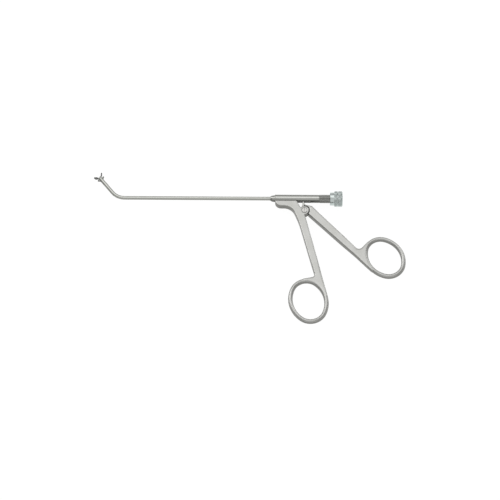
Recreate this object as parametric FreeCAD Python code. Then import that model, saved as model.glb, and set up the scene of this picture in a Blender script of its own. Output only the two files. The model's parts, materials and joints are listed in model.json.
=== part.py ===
# Curved sinus forceps: a slim tubular shaft with an upturned tip, double action cup jaws,
# two ring handles and a capped rinsing port at the rear of the barrel.
# It lies flat: +X runs along the shaft to the rear cap, +Y is up in the plane of the
# handles, +Z is up from the surface. While it is built, the barrel axis is Y = Z = 0 and
# X = 0 is the handle pivot. At the end everything moves so that the origin is under the
# middle of the whole instrument, on the surface that the cap rim touches.
# All sizes are in millimetres and all angles in degrees.
import FreeCAD, Part
import math
import os

Vector = FreeCAD.Vector

# Clearances
running_clearance = 0.05     # radial, round pins and sliding rods
fixed_clearance = 0.01       # radial, between pieces that are pressed, brazed or screwed
layer_gap = 0.02             # between flat pieces that turn side by side
seal_gap = 0.03              # between a seal and the wall that it slides on
overcut = 1.0                # how far a cut runs past the material
corner_reach_share = 0.96    # of a straight side, the most that its rounded corners use

# Handles, both cut from the same plate
handle_thickness = 5.0
handle_edge_chamfer = 0.3
ring_taper_length = 14.0     # where the arm thins down to the ring's thickness
ring_bar_sides = 16
pivot_drop = 9.8             # from the barrel axis down to the handle pivot
ear_radius = 3.3
ear_recess_gap = 0.2
tongue_thickness = 1.95
tongue_side_gap = 0.05
tongue_radius = 3.2
ring_wire_width = 3.2
ring_wire_thickness = 4.1
ring_web_inset = 0.1         # how far the web stays inside the ring's outer edge

# Finger handle
finger_arm_lean = 14.3       # arm direction, from straight down towards the rear
finger_arm_outer = -0.5      # outer edge, measured across the arm from the pivot
finger_arm_width_top = 5.25
finger_arm_width_end = 4.8
finger_arm_knee = 8.0        # along the arm, where the neck has run into the arm
finger_web_setback = 16.6    # up the arm from the ring's middle, where the inner edge turns in
finger_web_radius = 1.8
finger_taper_along = 37.0
finger_ring_along = 67.0
finger_ring_across = -14.1
finger_ring_turn = 0.4       # long axis of the ring against the arm
finger_ring_long = 15.5      # half the centre line, along
finger_ring_short = 12.05    # half the centre line, across
finger_ring_end_radius = 10.2
body_top_drop = 2.2          # top edge of the body plate under the barrel axis
body_bottom_drop = 6.5
body_front_corner = 4.0
neck_radius = 10.0
neck_corner_x = -8.7
body_rear_x = -5.4
body_rear_foot_x = -2.9
body_rear_foot_drop = 7.0
body_rear_foot_radius = 0.8
arm_blend_radius = 60.0

# Thumb handle
thumb_arm_lean = 45.5
thumb_arm_outer = 0.1
thumb_arm_width_top = 5.65
thumb_arm_width_end = 4.75
thumb_arm_knee = 9.0
thumb_web_setback = 15.9
thumb_web_radius = 2.6
thumb_taper_along = 34.0
thumb_ring_along = 63.5
thumb_ring_across = -13.24
thumb_ring_turn = 12.2
thumb_ring_long = 15.0
thumb_ring_short = 11.9
thumb_ring_end_radius = 10.0
head_top_left_x = -0.4
head_top_left_rise = 4.55
head_top_left_radius = 0.5   # more than the chamfer, which runs round it
head_corner_x = 5.2
head_corner_rise = 3.2
head_corner_radius = 1.5

# Drive nose on top of the thumb handle
drive_nose_reach = 8.8       # from the pivot to the middle of the nose
drive_nose_radius = 0.8
tang_width = 1.3
tang_root_width = 2.6
tang_root_rise = 4.4
tang_taper_length = 1.6
tang_corner_radius = 1.5

# Handle pivot screw
screw_radius = 1.25
screw_head_radius = 1.75
screw_head_depth = 0.9
screw_slot_width = 0.45
screw_slot_depth = 0.5

# Barrel and nose
barrel_radius = 2.7
barrel_bore_radius = 2.0
barrel_front_x = -20.1
barrel_rear_x = 9.9
barrel_edge_chamfer = 0.25
barrel_slot_front_x = -4.8
barrel_slot_rear_x = 4.4
barrel_slot_width = 2.4
nose_length = 3.15
nose_cone_length = 1.0
nose_tip_radius = 1.45
nose_shoulder_radius = 2.0
nose_base_radius = 2.35
nose_spigot_length = 3.5

# Shaft
shaft_radius = 1.25
shaft_bore_radius = 0.85
shaft_end_setback = 0.2      # inside the end of the nose's spigot
bend_corner_x = -127.8
bend_angle = 52.0
bend_radius = 10.5
tip_reach = 18.8             # from the bend corner to the jaw pivot

# Tip fork
fork_length = 8.0            # behind the jaw pivot
fork_nose_radius = 1.05
fork_slot_width = 1.2
fork_slot_length = 5.6
fork_spigot_length = 1.5
jaw_pin_radius = 0.3
jaw_pin_end_inset = 0.05     # each end, inside the fork's outer wall

# Jaws
jaw_opening = 44.0           # each jaw, from closed to fully open
jaw_reach = 4.3
jaw_neck_length = 1.35
jaw_cup_width = 2.2
jaw_cup_depth = 0.85
jaw_tip_depth = 0.42
jaw_wall = 0.3
jaw_root_radius = 0.8
jaw_neck_width = 0.62
jaw_neck_overlap = 0.5       # of the neck into the cup's end wall
jaw_tooth_pitch = 0.42
jaw_tooth_depth = 0.12
jaw_tooth_count = 5
jaw_notch_share = 0.7        # of the tooth pitch, at the mouth of a notch
tail_reach = 2.1
tail_closed_angle = 29.0     # from the axis, behind the pivot
tail_eye_radius = 0.45
tail_bar_width = 0.675
tail_pin_radius = 0.22

# Links and pusher
link_length = 3.1
link_eye_radius = 0.55
link_bar_width = 0.6
link_end_play = 0.12         # radial, round the tail pin, where the linkage is left open
link_pin_radius = 0.25
pusher_tongue_thickness = 0.4
pusher_tongue_root = 1.0     # of the tongue inside the round rod
pusher_rod_setback = 0.8     # from the link pin to the round rod
ferrule_length = 1.6

# Drive rod, wire and slide block
rod_radius = 0.6
rod_front_setback = 4.7      # from the start of the bend to the front of the rod
rod_socket_depth = 3.2
wire_radius = 0.35
wire_socket_depth = 0.2
wire_cut_gap = 0.15          # where the wire is divided into three moving pieces
wire_tip_length = 4.01       # from the end of the bend to the pusher
block_front_length = 7.0
block_rear_length = 6.7
seal_front_setback = 6.2
seal_rear_setback = 5.9
seal_wire_radius = 0.2
seal_side_gap = 0.08
seal_corner_size = 0.12
pocket_top = 0.1
pocket_side_gap = 0.12       # each side of the drive tang
rinse_hole_radius = 0.4
rinse_hole_rise = 0.95

# Rinsing port and cap
sleeve_radius = 2.8
sleeve_length = 7.5
sleeve_spigot_length = 1.8
sleeve_channel_radius = 1.2
flute_count = 26
flute_depth = 0.15
flute_land_share = 0.4       # of the pitch
sleeve_collar_length = 0.4
port_taper = 0.03            # radius lost per millimetre of depth
port_mouth_radius = 2.135
port_depth = 7.5
port_wall = 0.65
port_length = 6.6            # behind the sleeve
port_spigot_radius = 2.25
port_spigot_length = 3.2
port_lug_radius = 3.75
port_lug_length = 1.1
port_lug_width = 3.0
cap_length = 8.65
cap_collar_length = 3.0
cap_collar_radius = 4.5
cap_rim_radius = 5.25
cap_rim_round = 0.8
cap_rim_round_mid = 0.24     # how far the middle of the round lies inside both faces
cap_edge_chamfer = 0.3
cap_groove_from_collar = 2.25
cap_groove_width = 0.35
cap_groove_depth = 0.3
cap_bore_radius = 3.85
cap_end_wall = 1.1
knurl_count = 40
knurl_depth = 0.22
knurl_land_share = 0.25      # of the pitch
plug_taper_length = 6.2
plug_disc_radius = 3.3
plug_disc_thickness = 0.45
plug_stem_radius = 1.0
plug_head_radius = 1.5
plug_head_thickness = 0.4
cap_seal_thickness = 0.45

# Derived places
half_thickness = handle_thickness / 2.0
recess_radius = ear_radius + ear_recess_gap
bend_rad = math.radians(bend_angle)
bend_tangent = bend_radius * math.tan(bend_rad / 2.0)
bend_start_x = bend_corner_x + bend_tangent
tip_angle = 180.0 - bend_angle
jaw_pivot = Vector(
    bend_corner_x - tip_reach * math.cos(bend_rad),
    tip_reach * math.sin(bend_rad),
    0.0,
)
layer_outer = fork_slot_width / 2.0 - seal_gap
tip_cut_depth = 2.0 * shaft_radius + overcut
sleeve_rear_x = barrel_rear_x + sleeve_length
port_rear_x = sleeve_rear_x + port_length
cap_rear_x = sleeve_rear_x + cap_length
cap_inner_x = cap_rear_x - cap_end_wall
surface_z = -cap_rim_radius


def link_pin_setback(tail_angle):
    """Distance from the jaw pivot back to the link pin for a tail at this angle."""
    angle = math.radians(tail_angle)
    side = tail_reach * math.sin(angle)
    return tail_reach * math.cos(angle) + math.sqrt(link_length ** 2 - side ** 2)


def link_lean(tail_angle):
    """Lean of a link against the axis for a tail at this angle."""
    side = tail_reach * math.sin(math.radians(tail_angle))
    return math.degrees(math.asin(side / link_length))


def level_start(value, start, end):
    """First value and change of the straight line that best follows value(angle)."""
    first = value(start)
    last = value(end)
    sag = value((start + end) / 2.0) - (first + last) / 2.0
    return first + sag / 2.0, last - first


tail_open_angle = tail_closed_angle + jaw_opening
link_pin_rest, drive_travel = level_start(link_pin_setback, tail_open_angle, tail_closed_angle)
link_lean_rest, link_swing = level_start(link_lean, tail_open_angle, tail_closed_angle)
handle_travel = 2.0 * math.degrees(math.asin(drive_travel / (2.0 * drive_nose_reach)))
block_rest_x = -drive_travel / 2.0


# Shapes that several pieces share


def disc(radius, thickness, centre_x=0.0, centre_y=0.0, middle_z=0.0):
    """Round plate about a line along Z."""
    base = Vector(centre_x, centre_y, middle_z - thickness / 2.0)
    return Part.makeCylinder(radius, thickness, base, Vector(0, 0, 1))


def rod_along_x(radius, start_x, end_x, centre_y=0.0):
    """Round bar along X on the barrel axis, or beside it."""
    return Part.makeCylinder(radius, end_x - start_x, Vector(start_x, centre_y, 0), Vector(1, 0, 0))


def cone_along_x(start_radius, end_radius, start_x, end_x):
    """Tapered bar along X on the barrel axis."""
    return Part.makeCone(start_radius, end_radius, end_x - start_x, Vector(start_x, 0, 0), Vector(1, 0, 0))


def block(low_x, high_x, low_y, high_y, low_z, high_z):
    """Box between two corners."""
    size = (high_x - low_x, high_y - low_y, high_z - low_z)
    return Part.makeBox(*size, Vector(low_x, low_y, low_z))


def turned(profile):
    """Solid of revolution about the barrel axis from (x, radius) points, closed on the axis."""
    points = [Vector(x, radius, 0) for x, radius in profile]
    face = Part.Face(Part.makePolygon(points + points[:1]))
    return face.revolve(Vector(0, 0, 0), Vector(1, 0, 0), 360)


def rounded_outline(corners):
    """Closed wire through (x, y, radius) corners, each corner rounded by an arc."""
    edges = []
    starts = []
    ends = []
    for index, (x, y, radius) in enumerate(corners):
        here = Vector(x, y, 0)
        before = Vector(*corners[index - 1][:2], 0) - here
        after = Vector(*corners[(index + 1) % len(corners)][:2], 0) - here
        half_turn = (math.pi - before.getAngle(after)) / 2.0
        reach = radius * math.tan(half_turn)
        for side, other in ((before, corners[index - 1]), (after, corners[(index + 1) % len(corners)])):
            rounded_ends = 2.0 if other[2] > 0.0 else 1.0
            reach = min(reach, corner_reach_share * side.Length / rounded_ends)
        into = Vector(before).normalize()
        out = Vector(after).normalize()
        starts.append(here + into * reach)
        ends.append(here + out * reach)
        if reach > 0.001:
            bisector = (into + out).normalize()
            limited_radius = reach / math.tan(half_turn)
            inset = limited_radius / math.cos(half_turn) - limited_radius
            edges.append(Part.Arc(starts[-1], here + bisector * inset, ends[-1]).toShape())
    lines = []
    for index, end in enumerate(ends):
        start = starts[(index + 1) % len(starts)]
        if (start - end).Length > 0.001:
            lines.append(Part.LineSegment(end, start).toShape())
    return Part.Wire(Part.__sortEdges__(edges + lines))


def plate(corners, thickness):
    """Flat plate of a rounded outline, centred on Z = 0."""
    face = Part.Face(rounded_outline(corners))
    face.translate(Vector(0, 0, -thickness / 2.0))
    return face.extrude(Vector(0, 0, thickness))


def is_flat_on(face):
    """True for a face that looks up or down."""
    low_u, high_u, low_v, high_v = face.ParameterRange
    return abs(face.normalAt((low_u + high_u) / 2.0, (low_v + high_v) / 2.0).z) > 0.9


def rim_edges(shape, ring):
    """Edges of a plate between its flat sides and its walls, but for those inside the ring."""
    flat = [edge for face in shape.Faces if is_flat_on(face) for edge in face.Edges]
    upright = [edge for face in shape.Faces if not is_flat_on(face) for edge in face.Edges]
    upright_codes = {edge.hashCode() for edge in upright}
    rim = [edge for edge in flat if edge.hashCode() in upright_codes]
    return [edge for edge in rim if ring.lies_outside(edge)]


# Handles


def arm_point(pivot, direction, across, along, side):
    """Point of an arm, measured along it from the pivot and across it."""
    return pivot + direction * along + across * side


class RingPlace:
    """An oval finger ring: its middle, the direction of its long axis and its sizes."""

    def __init__(self, centre, long_axis, short_axis, half_long, half_short, end_radius):
        self.centre = centre
        self.long_axis = long_axis
        self.short_axis = short_axis
        self.half_long = half_long
        self.half_short = half_short
        self.end_radius = end_radius

    def touch_point(self, outside, toward_plus):
        """Where a line from an outside point touches the outer edge of the ring."""
        outer_long = self.half_long + ring_wire_width / 2.0 - ring_web_inset
        outer_short = self.half_short + ring_wire_width / 2.0 - ring_web_inset
        offset = outside - self.centre
        along = offset.dot(self.long_axis) / outer_long
        side = offset.dot(self.short_axis) / outer_short
        phase = math.atan2(side, along)
        swing = math.acos(min(1.0, 1.0 / math.hypot(along, side)))
        angle = phase - swing if toward_plus else phase + swing
        return (
            self.centre
            + self.long_axis * (outer_long * math.cos(angle))
            + self.short_axis * (outer_short * math.sin(angle))
        )

    def lies_outside(self, edge):
        """True for an edge whose middle is farther from the ring's middle than its short half."""
        middle = edge.valueAt((edge.FirstParameter + edge.LastParameter) / 2.0)
        offset = Vector(middle.x, middle.y, 0) - self.centre
        return offset.Length > self.half_short

    def arcs(self):
        """The centre line as four tangent arcs: centre, radius, first angle and sweep."""
        end_shift = self.half_long - self.end_radius
        side_radius = (
            self.half_long ** 2 + self.half_short ** 2 - 2.0 * self.half_long * self.end_radius
        ) / (2.0 * (self.half_short - self.end_radius))
        side_shift = side_radius - self.half_short
        joint = math.degrees(math.atan2(side_shift, end_shift))
        return [
            (Vector(end_shift, 0, 0), self.end_radius, -joint, 2.0 * joint),
            (Vector(0, -side_shift, 0), side_radius, joint, 180.0 - 2.0 * joint),
            (Vector(-end_shift, 0, 0), self.end_radius, 180.0 - joint, 2.0 * joint),
            (Vector(0, side_shift, 0), side_radius, 180.0 + joint, 180.0 - 2.0 * joint),
        ]

    def placed(self, shape):
        """Move a shape from the ring's own frame to its place."""
        angle = math.degrees(math.atan2(self.long_axis.y, self.long_axis.x))
        shape.rotate(Vector(0, 0, 0), Vector(0, 0, 1), angle)
        shape.translate(self.centre)
        return shape

    def bar(self):
        """The ring itself: a bar of oval section along the four arcs."""
        pieces = []
        for centre, radius, first, sweep in self.arcs():
            section = oval_face(centre + Vector(radius, 0, 0), ring_wire_width / 2.0, ring_wire_thickness / 2.0)
            section.rotate(centre, Vector(0, 0, 1), first)
            pieces.append(section.revolve(centre, Vector(0, 0, 1), sweep))
        return self.placed(pieces[0].fuse(pieces[1:]))

    def opening(self, thickness):
        """Solid that fills the ring inside its centre line."""
        edges = []
        for centre, radius, first, sweep in self.arcs():
            edges.append(Part.makeCircle(
                radius, centre - Vector(0, 0, thickness / 2.0), Vector(0, 0, 1),
                first, first + sweep,
            ))
        face = Part.Face(Part.Wire(Part.__sortEdges__(edges)))
        return self.placed(face.extrude(Vector(0, 0, thickness)))


def oval_face(centre, half_x, half_z):
    """Oval face in a plane across Y, with many straight sides."""
    points = []
    for index in range(ring_bar_sides):
        angle = 2.0 * math.pi * index / ring_bar_sides
        points.append(centre + Vector(half_x * math.cos(angle), 0, half_z * math.sin(angle)))
    return Part.Face(Part.makePolygon(points + points[:1]))


def arm_frame(lean, outer_sign):
    """Direction of an arm and the direction across it to its outer edge."""
    angle = math.radians(lean)
    direction = Vector(math.sin(angle), -math.cos(angle), 0)
    across = Vector(math.cos(angle), math.sin(angle), 0) * outer_sign
    return direction, across


def handle_pivot_point():
    """Middle of the handle pivot."""
    return Vector(0, -pivot_drop, 0)


def ring_place(lean, outer_sign, along, side, turn, sizes):
    """Place of a ring, given in the arm's own directions."""
    direction, across = arm_frame(lean, outer_sign)
    centre = arm_point(handle_pivot_point(), direction, across, along, side)
    angle = math.radians(turn)
    long_axis = direction * math.cos(angle) + across * math.sin(angle)
    short_axis = across * math.cos(angle) - direction * math.sin(angle)
    return RingPlace(centre, long_axis, short_axis, *sizes)


def finger_ring_place():
    """Place of the finger handle's ring."""
    return ring_place(
        finger_arm_lean, 1, finger_ring_along, finger_ring_across,
        finger_ring_turn, (finger_ring_long, finger_ring_short, finger_ring_end_radius),
    )


def thumb_ring_place():
    """Place of the thumb handle's ring."""
    return ring_place(
        thumb_arm_lean, -1, thumb_ring_along, thumb_ring_across,
        thumb_ring_turn, (thumb_ring_long, thumb_ring_short, thumb_ring_end_radius),
    )


def corner(point, radius):
    """Corner of an outline from a point."""
    return (point.x, point.y, radius)


def arm_corners(lean, outer_sign, outer, width_top, width_end, knee, web_start, web_radius, ring):
    """Corners of an arm from its knee down the inner edge, round the ring and up outside."""
    direction, across = arm_frame(lean, outer_sign)
    pivot = handle_pivot_point()
    inner_knee = arm_point(pivot, direction, across, knee, outer - width_top)
    inner_web = arm_point(pivot, direction, across, web_start, outer - width_end)
    outer_web = arm_point(pivot, direction, across, web_start, outer)
    inner_touch = ring.touch_point(inner_web, False)
    outer_touch = ring.touch_point(outer_web, True)
    return [
        corner(inner_knee, arm_blend_radius),
        corner(inner_web, web_radius),
        corner(inner_touch, 0.0),
        corner(ring.centre, 0.0),
        corner(outer_touch, 0.0),
        corner(outer_web, arm_blend_radius),
    ]


def arm_limit(lean, outer_sign, taper_start, length):
    """Solid with an arm's thickness, thinning down to the ring's, as wide as it is long."""
    direction = arm_frame(lean, outer_sign)[0]
    half_ring = ring_wire_thickness / 2.0
    taper_end = taper_start + ring_taper_length
    upper = [
        (-length, half_thickness), (taper_start, half_thickness), (taper_end, half_ring), (length, half_ring),
    ]
    points = [Vector(along, -length, rise) for along, rise in upper]
    points += [Vector(along, -length, -rise) for along, rise in reversed(upper)]
    limit = Part.Face(Part.makePolygon(points + points[:1])).extrude(Vector(0, 2.0 * length, 0))
    limit.rotate(Vector(0, 0, 0), Vector(0, 0, 1), math.degrees(math.atan2(direction.y, direction.x)))
    limit.translate(handle_pivot_point())
    return limit


def finger_handle():
    """Fixed handle: body plate under the barrel, forked ear, arm and ring."""
    ring = finger_ring_place()
    direction, across = arm_frame(finger_arm_lean, 1)
    pivot = handle_pivot_point()
    arm_top = arm_point(pivot, direction, across, 0.0, finger_arm_outer)
    corners = [
        (barrel_front_x, -body_top_drop, 0.0),
        (barrel_front_x, -body_bottom_drop, body_front_corner),
        (neck_corner_x, -body_bottom_drop, neck_radius),
    ]
    corners += arm_corners(
        finger_arm_lean, 1, finger_arm_outer, finger_arm_width_top, finger_arm_width_end,
        finger_arm_knee, finger_ring_along - finger_web_setback, finger_web_radius, ring,
    )
    corners += [
        corner(arm_top, 0.0),
        (body_rear_foot_x, -body_rear_foot_drop, body_rear_foot_radius),
        (body_rear_x, -body_top_drop, 0.0),
    ]
    blank = plate(corners, handle_thickness)
    blank = blank.fuse(disc(ear_radius, handle_thickness, 0.0, -pivot_drop)).removeSplitter()
    blank = blank.common(arm_limit(finger_arm_lean, 1, finger_taper_along, 2.0 * finger_ring_along))
    blank = blank.makeChamfer(handle_edge_chamfer, rim_edges(blank, ring))
    blank = blank.cut(ring.opening(handle_thickness + overcut))
    blank = blank.fuse(ring.bar())
    blank = blank.cut(rod_along_x(barrel_radius, barrel_front_x - overcut, barrel_rear_x))
    slot_thickness = tongue_thickness + 2.0 * tongue_side_gap
    blank = blank.cut(disc(recess_radius, slot_thickness, 0.0, -pivot_drop))
    blank = blank.cut(disc(screw_radius + fixed_clearance, handle_thickness + overcut, 0.0, -pivot_drop))
    head_seat = disc(
        screw_head_radius + fixed_clearance, screw_head_depth + overcut, 0.0, -pivot_drop,
        half_thickness - screw_head_depth + (screw_head_depth + overcut) / 2.0,
    )
    return blank.cut(head_seat)


def drive_tang():
    """Tang on top of the thumb handle, standing straight up before it is leaned."""
    half_root = tang_root_width / 2.0
    half_tang = tang_width / 2.0
    taper_top = tang_root_rise + tang_taper_length - pivot_drop
    corners = [
        (-half_root, -pivot_drop, 0.0),
        (half_root, -pivot_drop, 0.0),
        (half_root, tang_root_rise - pivot_drop, tang_corner_radius),
        (half_tang, taper_top, tang_corner_radius),
        (half_tang, drive_nose_reach - pivot_drop, 0.0),
        (-half_tang, drive_nose_reach - pivot_drop, 0.0),
        (-half_tang, taper_top, tang_corner_radius),
        (-half_root, tang_root_rise - pivot_drop, tang_corner_radius),
    ]
    tang = plate(corners, tongue_thickness)
    nose = disc(drive_nose_radius, tongue_thickness, 0.0, drive_nose_reach - pivot_drop)
    tang = tang.fuse(nose)
    tang.rotate(handle_pivot_point(), Vector(0, 0, 1), handle_travel / 2.0)
    return tang


def thumb_handle():
    """Moving handle: ring, arm, head with a round recess, tongue and drive tang."""
    ring = thumb_ring_place()
    direction, across = arm_frame(thumb_arm_lean, -1)
    pivot = handle_pivot_point()
    arm_top = arm_point(pivot, direction, across, 0.0, thumb_arm_outer)
    corners = arm_corners(
        thumb_arm_lean, -1, thumb_arm_outer, thumb_arm_width_top, thumb_arm_width_end,
        thumb_arm_knee, thumb_ring_along - thumb_web_setback, thumb_web_radius, ring,
    )
    corners += [
        corner(arm_top, 0.0),
        (head_top_left_x, head_top_left_rise - pivot_drop, head_top_left_radius),
        (head_corner_x, head_corner_rise - pivot_drop, head_corner_radius),
    ]
    blank = plate(corners, handle_thickness)
    blank = blank.common(arm_limit(thumb_arm_lean, -1, thumb_taper_along, 2.0 * thumb_ring_along))
    blank = blank.cut(disc(recess_radius, handle_thickness + overcut, 0.0, -pivot_drop))
    blank = blank.makeChamfer(handle_edge_chamfer, rim_edges(blank, ring))
    blank = blank.cut(ring.opening(handle_thickness + overcut))
    blank = blank.fuse(ring.bar())
    core = plate(corners, tongue_thickness)
    core = core.common(disc(2.0 * recess_radius, tongue_thickness, 0.0, -pivot_drop))
    core = core.fuse([disc(tongue_radius, tongue_thickness, 0.0, -pivot_drop), drive_tang()])
    blank = blank.fuse(core)
    bore = disc(screw_radius + running_clearance, handle_thickness + overcut, 0.0, -pivot_drop)
    return blank.cut(bore)


def handle_pivot_screw():
    """Slotted screw that joins the handles, its head flush with the near ear."""
    shank = disc(screw_radius, handle_thickness, 0.0, -pivot_drop)
    head = disc(
        screw_head_radius, screw_head_depth, 0.0, -pivot_drop,
        half_thickness - screw_head_depth / 2.0,
    )
    screw = shank.fuse(head)
    half_slot = screw_slot_width / 2.0
    slot = block(
        -half_slot, half_slot, -pivot_drop - 2.0 * screw_head_radius, -pivot_drop + 2.0 * screw_head_radius,
        half_thickness - screw_slot_depth, half_thickness + overcut,
    )
    return screw.cut(slot)


# Barrel and shaft


def barrel():
    """Tube brazed to the finger handle, with a slot underneath for the drive tang."""
    tube = turned([
        (barrel_front_x, 0.0),
        (barrel_front_x, barrel_radius - barrel_edge_chamfer),
        (barrel_front_x + barrel_edge_chamfer, barrel_radius),
        (barrel_rear_x, barrel_radius),
        (barrel_rear_x, 0.0),
    ])
    bore = rod_along_x(barrel_bore_radius, barrel_front_x - overcut, barrel_rear_x + overcut)
    half_slot = barrel_slot_width / 2.0
    slot = block(
        barrel_slot_front_x, barrel_slot_rear_x, -barrel_radius - overcut, -barrel_bore_radius / 2.0,
        -half_slot, half_slot,
    )
    return tube.cut(bore).cut(slot)


def nose_cone():
    """Ferrule that carries the shaft in the front of the barrel."""
    tip_x = barrel_front_x - nose_length
    spigot_radius = barrel_bore_radius - fixed_clearance
    cone = turned([
        (tip_x, 0.0),
        (tip_x, nose_tip_radius),
        (tip_x + nose_cone_length, nose_shoulder_radius),
        (barrel_front_x, nose_base_radius),
        (barrel_front_x, spigot_radius),
        (barrel_front_x + nose_spigot_length, spigot_radius),
        (barrel_front_x + nose_spigot_length, 0.0),
    ])
    bore = rod_along_x(
        shaft_radius + fixed_clearance, tip_x - overcut, barrel_front_x + nose_spigot_length + overcut,
    )
    return cone.cut(bore)


def bent_rod(radius, rear_x, front_setback):
    """Round bar along the shaft's axis, from the barrel round the bend to the tip."""
    straight = rod_along_x(radius, bend_start_x, rear_x)
    arc = bend_piece(radius, 0.0, bend_angle)
    front = Part.makeCylinder(
        radius, tip_reach - bend_tangent - front_setback, Vector(front_setback, 0, 0), Vector(1, 0, 0),
    )
    front.rotate(Vector(0, 0, 0), Vector(0, 0, 1), 180.0)
    return straight.fuse([arc, at_tip(front)]).removeSplitter()


def bend_piece(radius, start_angle, end_angle):
    """Round bar along the bend, between two angles from the start of the bend."""
    centre = Vector(bend_start_x, bend_radius, 0)
    section = Part.Face(Part.Wire(Part.makeCircle(radius, Vector(bend_start_x, 0, 0), Vector(1, 0, 0))))
    section.rotate(centre, Vector(0, 0, 1), -start_angle)
    return section.revolve(centre, Vector(0, 0, -1), end_angle - start_angle)


def at_tip(shape):
    """Move a shape from the tip's own frame, +X forwards from the jaw pivot, to its place."""
    placed = shape.copy()
    placed.rotate(Vector(0, 0, 0), Vector(0, 0, 1), tip_angle)
    placed.translate(jaw_pivot)
    return placed


def flipped(shape):
    """Turn a shape of the tip's own frame over, about its forward axis."""
    turned_over = shape.copy()
    turned_over.rotate(Vector(0, 0, 0), Vector(1, 0, 0), 180.0)
    return turned_over


def shaft_tube():
    """Bent tube from the nose cone to the tip fork."""
    rear_x = barrel_front_x + nose_spigot_length - shaft_end_setback
    outer = bent_rod(shaft_radius, rear_x, fork_length)
    inner = bent_rod(shaft_bore_radius, rear_x + overcut, fork_length - overcut)
    return outer.cut(inner)


def tip_fork():
    """Forked end of the shaft that carries the jaws."""
    stem = rod_along_x(shaft_radius, -fork_length, fork_nose_radius)
    nose_limit = disc(fork_nose_radius, 2.0 * shaft_radius + overcut)
    rear_limit = block(
        -fork_length - overcut, 0.0, -tip_cut_depth, tip_cut_depth, -tip_cut_depth, tip_cut_depth,
    )
    stem = stem.common(nose_limit.fuse(rear_limit))
    spigot = rod_along_x(
        shaft_bore_radius - fixed_clearance, -fork_length - fork_spigot_length, -fork_length,
    )
    stem = stem.fuse(spigot)
    half_slot = fork_slot_width / 2.0
    slot = block(
        -fork_slot_length, fork_nose_radius + overcut, -tip_cut_depth, tip_cut_depth, -half_slot, half_slot,
    )
    guide = rod_along_x(
        pusher_radius() + running_clearance, -fork_length - fork_spigot_length - overcut,
        -fork_slot_length + overcut,
    )
    pin_hole = disc(jaw_pin_radius + fixed_clearance, tip_cut_depth)
    return at_tip(stem.cut(slot).cut(guide).cut(pin_hole))


def pusher_radius():
    """Radius of the pusher rod, which also runs in the fork's slot."""
    return fork_slot_width / 2.0 - running_clearance


# Jaws and linkage, in the tip's own frame


def jaw_root():
    """Flat root of the lower jaw: pivot eye, neck and crossing tail."""
    depth = layer_outer - layer_gap / 2.0
    middle_z = -(layer_outer + layer_gap / 2.0) / 2.0
    root = disc(jaw_root_radius, depth, 0.0, 0.0, middle_z)
    neck = block(
        0.0, jaw_neck_length + jaw_neck_overlap, layer_gap, layer_gap + jaw_neck_width,
        middle_z - depth / 2.0, middle_z + depth / 2.0,
    )
    tail = block(
        0.0, tail_reach, -tail_bar_width / 2.0, tail_bar_width / 2.0,
        middle_z - depth / 2.0, middle_z + depth / 2.0,
    )
    tail = tail.fuse(disc(tail_eye_radius, depth, tail_reach, 0.0, middle_z))
    tail.rotate(Vector(0, 0, 0), Vector(0, 0, 1), 180.0 + tail_closed_angle)
    return root.fuse([neck, tail])


def cup_blank(inset):
    """Rounded half bowl of a jaw, or the hollow in it when inset by its wall."""
    half_width = jaw_cup_width / 2.0 - inset
    start_x = jaw_neck_length + inset
    end_x = jaw_reach - inset
    half_length = (end_x - start_x) / 2.0
    middle_x = (start_x + end_x) / 2.0
    bowl = Part.Ellipse(
        Vector(middle_x + half_length, 0, 0), Vector(middle_x, 0, half_width), Vector(middle_x, 0, 0),
    )
    bowl = Part.Face(Part.Wire(bowl.toShape())).extrude(Vector(0, jaw_cup_depth, 0))
    depth = jaw_cup_depth - inset
    tip_depth = jaw_tip_depth - inset
    level = -half_width - overcut
    front = end_x + jaw_wall
    rear = start_x - jaw_wall
    side = Part.Wire([
        Part.LineSegment(Vector(rear, 0, level), Vector(front, 0, level)).toShape(),
        Part.LineSegment(Vector(front, 0, level), Vector(front, tip_depth, level)).toShape(),
        Part.Arc(
            Vector(front, tip_depth, level), Vector(middle_x, depth, level), Vector(rear, tip_depth, level),
        ).toShape(),
        Part.LineSegment(Vector(rear, tip_depth, level), Vector(rear, 0, level)).toShape(),
    ])
    return bowl.common(Part.Face(side).extrude(Vector(0, 0, -2.0 * level)))


def rim_teeth():
    """Notches across the rim of a jaw, which leave its gripping teeth."""
    notches = []
    middle = (jaw_neck_length + jaw_reach) / 2.0
    for index in range(jaw_tooth_count):
        x = middle + (index - (jaw_tooth_count - 1) / 2.0) * jaw_tooth_pitch
        half = jaw_tooth_pitch * jaw_notch_share / 2.0
        level = -jaw_cup_width
        points = [
            Vector(x - half, -jaw_tooth_depth, level), Vector(x + half, -jaw_tooth_depth, level),
            Vector(x, jaw_tooth_depth, level),
        ]
        notches.append(Part.Face(Part.makePolygon(points + points[:1])).extrude(Vector(0, 0, -2.0 * level)))
    return notches


def jaw():
    """Lower jaw, turned open, with its cup on the +Y side and its tail crossing over."""
    cup = cup_blank(0.0).cut(cup_blank(jaw_wall))
    cup = cup.cut(rim_teeth())
    cup.translate(Vector(0, layer_gap, 0))
    body = jaw_root().fuse(cup)
    body = body.cut(disc(jaw_pin_radius + running_clearance, tip_cut_depth))
    pin_place = tail_pin_place(tail_closed_angle)
    body = body.cut(disc(tail_pin_radius + fixed_clearance, tip_cut_depth, pin_place.x, pin_place.y))
    body.rotate(Vector(0, 0, 0), Vector(0, 0, 1), jaw_opening)
    return body


def tail_pin_place(tail_angle):
    """Middle of the lower jaw's tail pin, for a tail at this angle."""
    angle = math.radians(180.0 + tail_angle)
    return Vector(tail_reach * math.cos(angle), tail_reach * math.sin(angle), 0)


def jaw_pivot_pin():
    """Pin across the fork that both jaws turn on."""
    return at_tip(disc(jaw_pin_radius, 2.0 * (shaft_radius - jaw_pin_end_inset)))


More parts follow.
